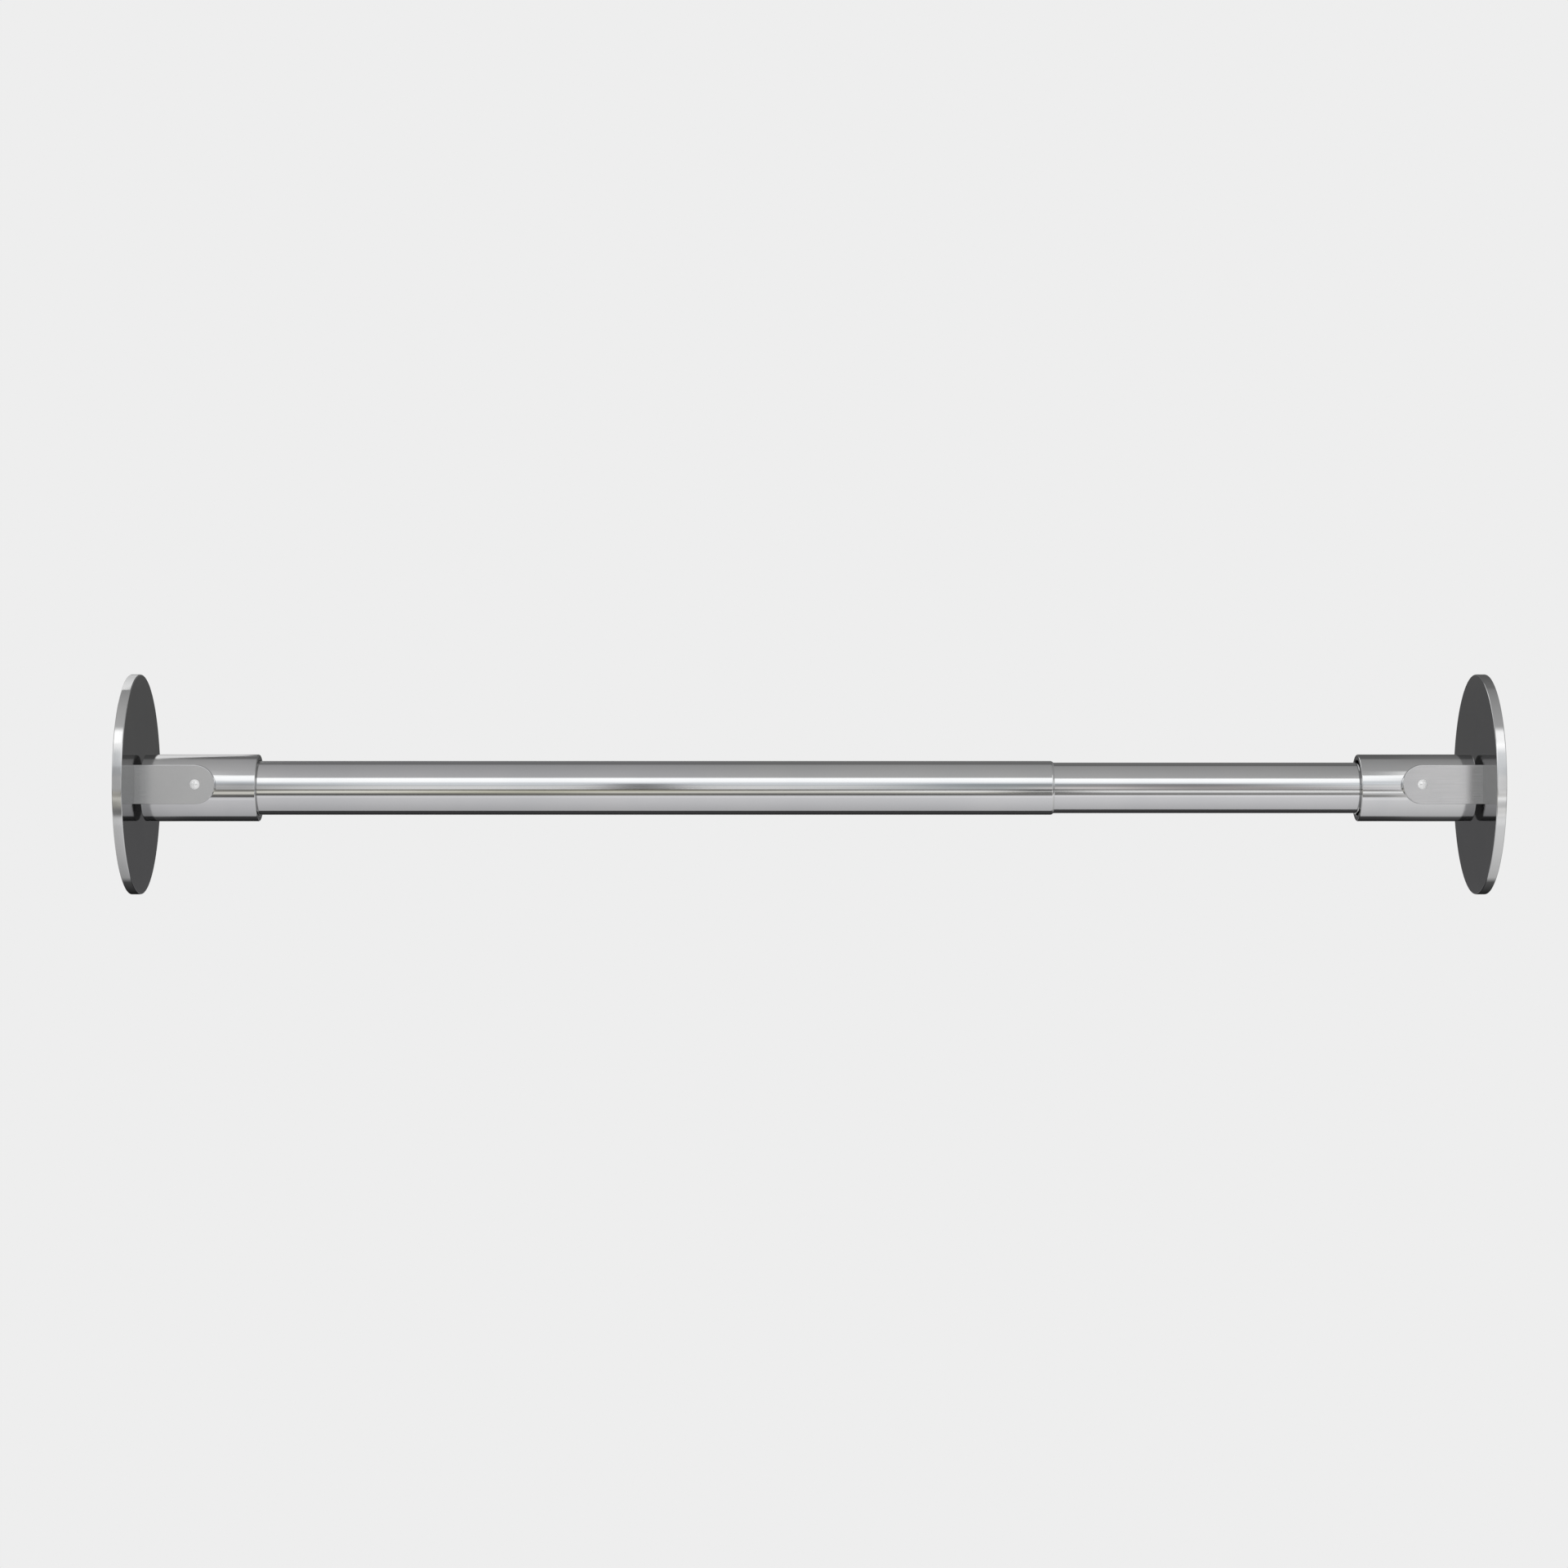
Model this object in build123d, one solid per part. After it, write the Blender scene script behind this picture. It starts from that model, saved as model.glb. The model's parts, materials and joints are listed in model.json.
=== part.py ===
from build123d import *
from math import isclose
import os

# Extendable shower curtain rod, in millimetres, drawn at the length that it is set to.
# X runs along the rod from the left wall to the right wall, and Z is up. The origin is the
# centre of the left wall pad's outer face, level with the pivots of both flanges.

# Tubes
outer_tube_diameter = 25.0
outer_tube_wall = 0.6
outer_tube_length = 387.6
inner_tube_wall = 0.6
inner_tube_length = 360.0
tube_clearance = 0.15
mouth_nose_length = 1.2
mouth_edge = 0.15
extension = 141.0
rod_drop = 1.6

# Wall flanges: disc and rubber pad
disc_diameter = 102.0
disc_thickness = 4.5
disc_edge_radius = 0.4
pad_margin = 4.0
pad_thickness = 1.5
pad_recess = 1.0
pad_clearance = 0.1
pad_groove_width = 1.6
pad_groove_depth = 0.5
pad_groove_pitch = 10.0
pad_groove_count = 4

# Ears
ear_width = 18.0
ear_thickness = 3.0
ear_reach = 27.6
ear_edge_radius = 0.35
ear_gap = 0.25
tenon_shoulder = 4.0

# Pivot screws and washers
pivot_screw_diameter = 3.0
pivot_screw_length = 9.5
pivot_head_diameter = 4.6
pivot_head_height = 1.3
pivot_clearance = 0.05
cross_slot_width = 0.6
cross_slot_length = 2.6
cross_slot_depth = 0.7
washer_diameter = 8.0
washer_thickness = 1.3
spot_face_margin = 0.8

# Sockets
socket_wall = 2.6
socket_clearance = 0.4
socket_gap = 1.9
socket_mouth_reach = 27.2
socket_edge_radius = 0.5
socket_bore_chamfer = 0.4
pivot_web = 5.2

# Thrust plug in the outer tube's left end
plug_flange_thickness = 2.0
plug_barrel_length = 12.0
plug_wall = 2.5
fit_clearance = 0.05
turning_clearance = 0.1

# Seat cup in the right socket
cup_floor = 2.0
cup_recess = 7.5

# Sprung plunger and the bush that keeps it in the inner tube
bush_flange_thickness = 2.0
bush_barrel_length = 8.0
plunger_shaft_diameter = 15.0
plunger_head_length = 10.0
plunger_travel = 10.0
plunger_end_room = 1.0

# Eccentric cam on the plunger's stem
stem_diameter = 10.0
stem_offset = 0.8
cam_length = 14.0
cam_clearance = 0.4
cam_slit_width = 2.0
cam_groove_radius = 0.8
cam_groove_count = 12
cam_washer_diameter = 16.0
cam_washer_thickness = 1.0
cam_screw_diameter = 4.0
cam_screw_length = 12.0
cam_screw_head_diameter = 7.2
cam_screw_head_height = 2.4

# Tension spring of flat wire, and its stop
spring_length = 30.0
spring_turns = 6
spring_wire_width = 2.0
spring_wire_thickness = 1.6
spring_clearance = 0.9
spigot_length = 5.0
spigot_clearance = 0.4
stop_length = 10.0

# Radii
outer_tube_radius = outer_tube_diameter / 2
outer_bore_radius = outer_tube_radius - outer_tube_wall
inner_tube_radius = outer_bore_radius - tube_clearance
inner_bore_radius = inner_tube_radius - inner_tube_wall
socket_bore_radius = outer_tube_radius + socket_clearance
socket_radius = socket_bore_radius + socket_wall
disc_radius = disc_diameter / 2
pad_radius = disc_radius - pad_margin
spring_radius = inner_bore_radius - spring_clearance
spring_hole_radius = spring_radius - spring_wire_width
spigot_radius = spring_hole_radius - spigot_clearance
plunger_shaft_radius = plunger_shaft_diameter / 2
stem_radius = stem_diameter / 2
cam_radius = outer_bore_radius - cam_clearance

# Places along X at the left end, counted from the wall
disc_back = pad_thickness - pad_recess
disc_face = disc_back + disc_thickness
pivot_x = disc_face + ear_reach
socket_back = disc_face + socket_gap
socket_mouth = pivot_x + socket_mouth_reach
socket_floor = pivot_x + pivot_web

# Places across the rod, counted from its middle towards the front
ear_back = socket_radius + ear_gap
ear_front = ear_back + ear_thickness
washer_front = ear_back - pivot_clearance
spot_face = washer_front - washer_thickness
head_seat = ear_front + pivot_clearance

# Places along X between the ends
plug_start = socket_floor + turning_clearance
outer_tube_start = plug_start + plug_flange_thickness
outer_tube_mouth = outer_tube_start + outer_tube_length
overall_length = outer_tube_mouth + extension + socket_mouth
inner_tube_end = overall_length - socket_floor - cup_floor
inner_tube_start = inner_tube_end - inner_tube_length
bush_start = inner_tube_start - bush_flange_thickness
bush_end = inner_tube_start + bush_barrel_length
head_start = bush_end + turning_clearance
head_end = head_start + plunger_head_length
stop_start = head_end + spring_length
shaft_start = bush_start - plunger_travel - plunger_end_room
stem_start = shaft_start - cam_length - 2 * turning_clearance

# The right end is the left one turned half round about Z, and what is behind is what is in front
# turned half round about X.
to_right_end = Location((overall_length, 0, 0), (0, 0, 180))
to_rear = Location((0, 0, 0), (180, 0, 0))
to_tube_axis = Location((0, 0, -rod_drop))
to_stem_axis = Location((0, 0, stem_offset - rod_drop))


def turned(*corners):
    """Turn a closed outline of (x, radius) corners about the X axis."""
    return revolve(Plane.XZ * make_face(Polyline(*corners, close=True)), Axis.X)


def ring(start, end, outer_radius, inner_radius):
    """Turn a plain sleeve about the X axis."""
    return turned((start, inner_radius), (end, inner_radius), (end, outer_radius), (start, outer_radius))


def across(radius, back, front):
    """Make a round bar on the left pivot's line, from one distance in front of the middle to another."""
    return extrude(Plane.XZ.offset(back) * Pos(pivot_x, 0) * Circle(radius), front - back)


def rims(solid, radius):
    """Pick the circular edges of this radius."""
    circles = solid.edges().filter_by(GeomType.CIRCLE)
    return circles.filter_by(lambda edge: isclose(edge.radius, radius, abs_tol=0.001))


def wall_pad():
    """Rubber pad in the disc's back, with grip grooves in the face that meets the wall."""
    pad = turned((0, 0), (pad_thickness, 0), (pad_thickness, pad_radius), (0, pad_radius))
    for number in range(1, pad_groove_count + 1):
        middle = pad_radius - number * pad_groove_pitch
        half = pad_groove_width / 2
        pad -= ring(-pad_groove_depth, pad_groove_depth, middle + half, middle - half)
    return pad


def tenon():
    """The tongue of the left front ear, which fills its slot in the disc."""
    length = disc_face - pad_thickness
    middle = pad_thickness + length / 2
    outline = Pos(middle, 0) * Rectangle(length, ear_width - 2 * tenon_shoulder)
    return extrude(Plane.XZ.offset(ear_back) * outline, ear_thickness)


def flange_disc():
    """Round wall plate with a recess for its pad and a slot for each ear."""
    recess_radius = pad_radius + pad_clearance
    disc = turned(
        (pad_thickness, 0),
        (disc_face, 0),
        (disc_face, disc_radius),
        (disc_back, disc_radius),
        (disc_back, recess_radius),
        (pad_thickness, recess_radius),
    )
    disc = fillet(rims(disc, disc_radius), disc_edge_radius)
    return disc - tenon() - to_rear * tenon()


def front_ear():
    """Flat strap with a round end, which carries the socket at its pivot hole."""
    strap = Pos(disc_face + ear_reach / 2, 0) * Rectangle(ear_reach, ear_width)
    outline = strap + Pos(pivot_x, 0) * Circle(ear_width / 2)
    ear = extrude(Plane.XZ.offset(ear_back) * outline, ear_thickness)
    face_edges = ear.faces().sort_by(Axis.Y)[0].edges()
    free_edges = face_edges.filter_by(lambda edge: edge.center().X > disc_face + ear_edge_radius)
    ear = fillet(free_edges, ear_edge_radius)
    hole = across(pivot_screw_diameter / 2 + pivot_clearance, ear_back, ear_front)
    return ear + tenon() - hole


def front_pivot_screw():
    """Domed screw with a cross recess, threaded into the socket and turning in the ear."""
    shank = across(pivot_screw_diameter / 2, head_seat - pivot_screw_length, head_seat)
    head_radius = pivot_head_diameter / 2
    dome = TangentArc((0, pivot_head_height), (head_radius, 0), tangent=(1, 0))
    base = Polyline((head_radius, 0), (0, 0), (0, pivot_head_height))
    head = revolve(make_face([dome, base]), Axis.Y)
    slot = Box(cross_slot_length, 2 * cross_slot_depth, cross_slot_width)
    head -= Pos(0, pivot_head_height) * slot
    head -= Pos(0, pivot_head_height) * Rot(0, 90, 0) * slot
    return shank + Location((pivot_x, -head_seat, 0), (180, 0, 0)) * head


def front_pivot_washer():
    """Nylon washer in the socket's spot face, which the ear bears on."""
    washer = across(washer_diameter / 2, spot_face, washer_front)
    return washer - across(pivot_screw_diameter / 2 + pivot_clearance, spot_face, washer_front)


def socket():
    """Thick collar with a blind bore for the tube, spot-faced and drilled for the pivot screws."""
    body = turned(
        (socket_back, 0),
        (socket_floor, 0),
        (socket_floor, socket_bore_radius),
        (socket_mouth, socket_bore_radius),
        (socket_mouth, socket_radius),
        (socket_back, socket_radius),
    )
    body = fillet(rims(body, socket_radius), socket_edge_radius)
    mouth_rim = rims(body, socket_bore_radius).sort_by(Axis.X)[-1]
    body = to_tube_axis * chamfer(mouth_rim, socket_bore_chamfer)
    body -= across(pivot_screw_diameter / 2 + pivot_clearance, -socket_radius, socket_radius)
    flat = across(washer_diameter / 2 + spot_face_margin, spot_face, ear_back)
    return body - flat - to_rear * flat


def outer_tube():
    """Large tube, with its mouth rounded down to the inner tube."""
    nose_start = outer_tube_mouth - mouth_nose_length
    lip_radius = outer_bore_radius + mouth_edge
    nose = TangentArc((nose_start, outer_tube_radius), (outer_tube_mouth, lip_radius), tangent=(1, 0))
    straight = Polyline(
        (outer_tube_mouth, lip_radius),
        (outer_tube_mouth, outer_bore_radius),
        (outer_tube_start, outer_bore_radius),
        (outer_tube_start, outer_tube_radius),
        (nose_start, outer_tube_radius),
    )
    return to_tube_axis * revolve(Plane.XZ * make_face([nose, straight]), Axis.X)


def inner_tube():
    """Smaller tube that slides in the outer tube."""
    return to_tube_axis * ring(inner_tube_start, inner_tube_end, inner_tube_radius, inner_bore_radius)


def thrust_plug():
    """Nylon plug in the outer tube's end, on which the tube turns in the left socket."""
    barrel_radius = outer_bore_radius - fit_clearance
    hollow_radius = barrel_radius - plug_wall
    barrel_end = outer_tube_start + plug_barrel_length
    flange_radius = socket_bore_radius - turning_clearance
    plug = turned(
        (plug_start, 0),
        (plug_start, flange_radius),
        (outer_tube_start, flange_radius),
        (outer_tube_start, barrel_radius),
        (barrel_end, barrel_radius),
        (barrel_end, hollow_radius),
        (outer_tube_start, hollow_radius),
        (outer_tube_start, 0),
    )
    return to_tube_axis * plug


def seat_cup():
    """Nylon cup that centres the inner tube in the right socket's wider bore."""
    floor_x = overall_length - socket_floor
    mouth_x = overall_length - socket_mouth + cup_recess
    outside = socket_bore_radius - fit_clearance
    inside = inner_tube_radius + fit_clearance
    cup = turned(
        (floor_x, 0),
        (floor_x, outside),
        (mouth_x, outside),
        (mouth_x, inside),
        (inner_tube_end, inside),
        (inner_tube_end, 0),
    )
    return to_tube_axis * cup


def retaining_bush():
    """Flanged bush in the inner tube's hidden end, which keeps the plunger's head in the tube."""
    bore_radius = plunger_shaft_radius + turning_clearance
    flange = ring(bush_start, inner_tube_start, inner_tube_radius, bore_radius)
    barrel = ring(inner_tube_start, bush_end, inner_bore_radius - fit_clearance, bore_radius)
    return to_tube_axis * (flange + barrel)


def lock_plunger():
    """Sprung plunger: a head in the inner tube, a shaft through the bush and an eccentric stem."""
    head_radius = inner_bore_radius - tube_clearance
    spigot_end = head_end + spigot_length
    body = turned(
        (shaft_start, 0),
        (shaft_start, plunger_shaft_radius),
        (head_start, plunger_shaft_radius),
        (head_start, head_radius),
        (head_end, head_radius),
        (head_end, spigot_radius),
        (spigot_end, spigot_radius),
        (spigot_end, 0),
    )
    stem = turned((stem_start, 0), (shaft_start, 0), (shaft_start, stem_radius), (stem_start, stem_radius))
    hole_end = stem_start + cam_screw_length
    hole_radius = cam_screw_diameter / 2 + fit_clearance
    hole = turned((stem_start, 0), (hole_end, 0), (hole_end, hole_radius), (stem_start, hole_radius))
    return to_tube_axis * body + to_stem_axis * stem - to_stem_axis * hole


def lock_cam():
    """Slit cam that lies round in the outer tube until a twist swings it out on the eccentric stem."""
    start = stem_start + turning_clearance
    end = start + cam_length
    cam = turned((start, 0), (end, 0), (end, cam_radius), (start, cam_radius))
    groove = Pos(start, cam_radius, 0) * Plane.YZ * Circle(cam_groove_radius)
    groove = extrude(groove, cam_length, dir=(1, 0, 0))
    step = 360 / cam_groove_count
    for number in range(cam_groove_count):
        cam -= Rot((number + 0.5) * step, 0, 0) * groove
    cam = to_tube_axis * cam
    bore_radius = stem_radius + turning_clearance
    cam -= to_stem_axis * turned((start, 0), (end, 0), (end, bore_radius), (start, bore_radius))
    slit = Box(cam_length, cam_slit_width, cam_radius, align=(Align.MIN, Align.CENTER, Align.MAX))
    return cam - Pos(start, 0, -rod_drop) * slit


def cam_washer():
    """Washer that keeps the cam on its stem."""
    start = stem_start - cam_washer_thickness
    hole_radius = cam_screw_diameter / 2 + fit_clearance
    return to_stem_axis * ring(start, stem_start, cam_washer_diameter / 2, hole_radius)


def cam_screw():
    """Cheese-head screw that holds the cam washer on the stem."""
    seat = stem_start - cam_washer_thickness
    head_start_x = seat - cam_screw_head_height
    head_radius = cam_screw_head_diameter / 2
    shank_end = seat + cam_screw_length
    shank_radius = cam_screw_diameter / 2
    screw = turned(
        (head_start_x, 0),
        (head_start_x, head_radius),
        (seat, head_radius),
        (seat, shank_radius),
        (shank_end, shank_radius),
        (shank_end, 0),
    )
    return to_stem_axis * screw


def tension_spring():
    """Flat-wire compression spring with its ends ground square."""
    pitch = (spring_length - spring_wire_thickness) / spring_turns
    height = spring_length + 2 * pitch
    wire_radius = spring_radius - spring_wire_width / 2
    path = Helix(pitch, height, wire_radius)
    section = Plane((wire_radius, 0, 0), x_dir=(1, 0, 0), z_dir=(0, 1, 0))
    wire = section * Rectangle(spring_wire_width, spring_wire_thickness)
    coil = Pos(0, 0, -pitch) * sweep(wire, path=path, is_frenet=True)
    keep = Cylinder(inner_bore_radius, spring_length, align=(Align.CENTER, Align.CENTER, Align.MIN))
    return to_tube_axis * Location((head_end, 0, 0), (0, 90, 0)) * (coil & keep)


def spring_stop():
    """Plug fixed in the inner tube, which the spring pushes on."""
    spigot_start = stop_start - spigot_length
    stop_end = stop_start + stop_length
    stop_radius = inner_bore_radius - fit_clearance
    stop = turned(
        (spigot_start, 0),
        (spigot_start, spigot_radius),
        (stop_start, spigot_radius),
        (stop_start, stop_radius),
        (stop_end, stop_radius),
        (stop_end, 0),
    )
    return to_tube_axis * stop


# The two ends are alike, each with a front and a rear ear, screw and washer.
nodes = {}
paired = {"ear": front_ear(), "pivot_screw": front_pivot_screw(), "pivot_washer": front_pivot_washer()}
single = {"wall_pad": wall_pad(), "flange_disc": flange_disc(), "socket": socket()}
for name, piece in single.items():
    nodes["left_" + name] = piece
    nodes["right_" + name] = to_right_end * piece
for name, piece in paired.items():
    nodes["left_front_" + name] = piece
    nodes["left_rear_" + name] = to_rear * piece
    nodes["right_front_" + name] = to_right_end * to_rear * piece
    nodes["right_rear_" + name] = to_right_end * piece

nodes["outer_tube"] = outer_tube()
nodes["inner_tube"] = inner_tube()
nodes["left_thrust_plug"] = thrust_plug()
nodes["right_seat_cup"] = seat_cup()
nodes["retaining_bush"] = retaining_bush()
nodes["lock_plunger"] = lock_plunger()
nodes["lock_cam"] = lock_cam()
nodes["cam_washer"] = cam_washer()
nodes["cam_screw"] = cam_screw()
nodes["tension_spring"] = tension_spring()
nodes["spring_stop"] = spring_stop()

os.makedirs("parts", exist_ok=True)
for name, piece in nodes.items():
    export_step(piece, "parts/" + name + ".step")
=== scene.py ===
import json
import math
import bmesh
import bpy
from mathutils import Matrix, Vector


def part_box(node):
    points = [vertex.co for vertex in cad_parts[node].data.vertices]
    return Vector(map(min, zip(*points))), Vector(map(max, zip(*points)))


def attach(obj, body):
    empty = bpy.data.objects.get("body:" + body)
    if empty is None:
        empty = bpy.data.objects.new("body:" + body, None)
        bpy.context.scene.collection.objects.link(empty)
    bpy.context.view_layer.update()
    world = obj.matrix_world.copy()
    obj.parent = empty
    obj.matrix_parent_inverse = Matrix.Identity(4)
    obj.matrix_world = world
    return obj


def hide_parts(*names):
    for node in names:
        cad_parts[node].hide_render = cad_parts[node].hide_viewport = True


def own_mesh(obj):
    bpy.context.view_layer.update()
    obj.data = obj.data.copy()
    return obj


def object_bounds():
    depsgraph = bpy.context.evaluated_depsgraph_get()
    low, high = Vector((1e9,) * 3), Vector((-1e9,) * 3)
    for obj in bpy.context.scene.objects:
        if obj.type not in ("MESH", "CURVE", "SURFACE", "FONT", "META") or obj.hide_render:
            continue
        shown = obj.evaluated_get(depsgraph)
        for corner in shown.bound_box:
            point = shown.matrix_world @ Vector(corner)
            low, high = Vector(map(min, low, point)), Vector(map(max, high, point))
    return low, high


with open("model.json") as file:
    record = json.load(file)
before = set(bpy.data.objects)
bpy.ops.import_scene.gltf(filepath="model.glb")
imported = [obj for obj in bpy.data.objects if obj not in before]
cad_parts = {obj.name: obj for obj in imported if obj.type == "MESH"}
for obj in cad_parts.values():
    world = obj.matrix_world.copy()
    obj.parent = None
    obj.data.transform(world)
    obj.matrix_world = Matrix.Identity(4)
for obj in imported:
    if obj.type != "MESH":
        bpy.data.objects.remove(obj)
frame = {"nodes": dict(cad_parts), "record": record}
cad_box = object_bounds()

# Extendable shower curtain rod, in metres. X runs along the rod from the left wall to the right wall,
# Z is up and the viewer stands on the -Y side.
mm = 0.001

# Places and sizes read from the solids, at the left end and on its front side
pad_low, pad_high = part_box("left_wall_pad")
disc_low, disc_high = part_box("left_flange_disc")
ear_low, ear_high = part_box("left_front_ear")
_, screw_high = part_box("left_front_pivot_screw")
_, washer_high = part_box("left_front_pivot_washer")
socket_low, socket_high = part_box("left_socket")
outer_low, outer_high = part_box("outer_tube")
inner_low, inner_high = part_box("inner_tube")

overall_length = cad_box[1][0] - cad_box[0][0]
pad_radius = pad_high.z
disc_radius = disc_high.z
disc_face = disc_high.x
ear_half_width = ear_high.z
pivot_x = ear_high.x - ear_half_width
washer_radius = washer_high.z
tube_axis = (socket_low.z + socket_high.z) / 2
socket_radius = (socket_high.z - socket_low.z) / 2
outer_radius = (outer_high.z - outer_low.z) / 2
inner_radius = (inner_high.z - inner_low.z) / 2

# Walls, edges and recesses that the boxes don't tell
outer_wall = 0.6 * mm
inner_wall = 0.6 * mm
mouth_nose_length = 1.2 * mm
mouth_edge = 0.15 * mm
disc_edge_radius = 0.4 * mm
pad_recess = 1.0 * mm
pad_clearance = 0.1 * mm
pad_groove_width = 1.6 * mm
pad_groove_depth = 0.5 * mm
pad_groove_pitch = 10.0 * mm
pad_groove_count = 4
pad_edge_radius = 0.2 * mm
ear_edge_radius = 0.35 * mm
tenon_half_width = 5.0 * mm
socket_wall = 2.6 * mm
socket_edge_radius = 0.5 * mm
socket_bore_chamfer = 0.4 * mm
pivot_web = 5.2 * mm
spot_face_margin = 0.8 * mm
pivot_clearance = 0.05 * mm
screw_radius = 1.5 * mm
screw_head_radius = 2.3 * mm
screw_head_height = 1.3 * mm
cross_slot_width = 0.6 * mm
cross_slot_length = 2.6 * mm
cross_slot_depth = 0.7 * mm

# Fineness of the meshes
turn_steps = 160
screw_steps = 48
arc_steps = 10
ear_tip_steps = 40
edge_segments = 5
weld = 0.0005 * mm
smooth_angle = math.radians(40)

# From the left front to the other corners of the rod
here = Matrix.Identity(4)
to_rear = Matrix.Rotation(math.pi, 4, "X")
to_right_end = Matrix.Translation((overall_length, 0, 0)) @ Matrix.Rotation(math.pi, 4, "Z")
ends = {"left": here, "right": to_right_end}


# Mesh tools

def chain(bm, points, close=False):
    """Lay a chain of edges through a few points, and return its vertices."""
    verts = [bm.verts.new(point) for point in points]
    followers = verts[1:] + verts[:1] if close else verts[1:]
    for first, second in zip(verts, followers):
        bm.edges.new((first, second))
    return verts


def verts_of(geometry):
    """Only the vertices of what an operator gives back."""
    return [item for item in geometry if isinstance(item, bmesh.types.BMVert)]


def round_corners(bm, verts, radius):
    """Round the corners of a profile."""
    bmesh.ops.bevel(
        bm,
        geom=verts,
        offset=radius,
        affect="VERTICES",
        segments=edge_segments,
        profile=0.5,
        material=-1,
    )


def turn(bm, centre, axis, steps):
    """Spin a profile once round an axis and close the seam and the poles."""
    bmesh.ops.spin(
        bm,
        geom=bm.verts[:] + bm.edges[:],
        cent=centre,
        axis=axis,
        angle=math.tau,
        steps=steps,
        use_merge=True,
    )
    bmesh.ops.remove_doubles(bm, verts=bm.verts, dist=weld)
    bmesh.ops.dissolve_degenerate(bm, edges=bm.edges, dist=weld)
    bmesh.ops.recalc_face_normals(bm, faces=bm.faces)
    return bm


def turn_on_rod(bm, axis_height=0.0):
    """Spin a profile round a line along X."""
    return turn(bm, (0, 0, axis_height), (1, 0, 0), turn_steps)


def turn_on_pivot(bm):
    """Spin a profile round the left pivot's line."""
    return turn(bm, (pivot_x, 0, 0), (0, 1, 0), screw_steps)


def pivot_bar(radius, low_y, high_y):
    """Round bar on the left pivot's line."""
    bm = bmesh.new()
    chain(
        bm,
        [
            (pivot_x, low_y, 0),
            (pivot_x + radius, low_y, 0),
            (pivot_x + radius, high_y, 0),
            (pivot_x, high_y, 0),
        ],
    )
    return turn_on_pivot(bm)


def block(low, high):
    """Plain block between two corners."""
    bm = bmesh.new()
    middle = (Vector(low) + Vector(high)) / 2
    size = Vector(high) - Vector(low)
    place = Matrix.Translation(middle) @ Matrix.Diagonal((*size, 1))
    bmesh.ops.create_cube(bm, size=1, matrix=place)
    return bm


def loose(bm, name):
    """Turn a bmesh into an object of its own."""
    mesh = bpy.data.meshes.new(name)
    bm.to_mesh(mesh)
    bm.free()
    made = bpy.data.objects.new(name, mesh)
    bpy.context.scene.collection.objects.link(made)
    return made


def carved(blank, *cutters):
    """Take cutters away from a blank and return what is left."""
    work = loose(blank, "blank")
    tools = [loose(cutter, "cutter") for cutter in cutters]
    for tool in tools:
        bite = work.modifiers.new("bite", "BOOLEAN")
        bite.operation = "DIFFERENCE"
        bite.solver = "EXACT"
        bite.object = tool
    seen = work.evaluated_get(bpy.context.evaluated_depsgraph_get())
    result = bmesh.new()
    result.from_mesh(seen.to_mesh())
    for used in [work, *tools]:
        mesh = used.data
        bpy.data.objects.remove(used)
        bpy.data.meshes.remove(mesh)
    bmesh.ops.remove_doubles(result, verts=result.verts, dist=weld)
    return result


# Shapes

def wall_pad():
    """Rubber pad with rounded grip grooves in the face that meets the wall."""
    bm = bmesh.new()
    back = pad_low.x
    points = [(pad_high.x, 0, 0), (pad_high.x, 0, pad_radius), (back, 0, pad_radius)]
    for number in range(1, pad_groove_count + 1):
        middle = pad_radius - number * pad_groove_pitch
        outside = middle + pad_groove_width / 2
        inside = middle - pad_groove_width / 2
        points.append((back, 0, outside))
        points.append((back + pad_groove_depth, 0, outside))
        points.append((back + pad_groove_depth, 0, inside))
        points.append((back, 0, inside))
    points.append((back, 0, 0))
    verts = chain(bm, points)
    round_corners(bm, verts[2:-1], pad_edge_radius)
    return turn_on_rod(bm)


def flange_disc():
    """Round wall plate with softened edges, a recess for its pad and a slot for each ear."""
    bm = bmesh.new()
    recess_floor = disc_low.x + pad_recess
    recess_radius = pad_radius + pad_clearance
    verts = chain(
        bm,
        [
            (disc_face, 0, 0),
            (disc_face, 0, disc_radius),
            (disc_low.x, 0, disc_radius),
            (disc_low.x, 0, recess_radius),
            (recess_floor, 0, recess_radius),
            (recess_floor, 0, 0),
        ],
    )
    round_corners(bm, verts[1:3], disc_edge_radius)
    disc = turn_on_rod(bm)
    front_slot = block(
        (recess_floor - mm, ear_low.y, -tenon_half_width),
        (disc_face + mm, ear_high.y, tenon_half_width),
    )
    rear_slot = front_slot.copy()
    bmesh.ops.transform(rear_slot, matrix=to_rear, verts=rear_slot.verts)
    return carved(disc, front_slot, rear_slot)


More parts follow.
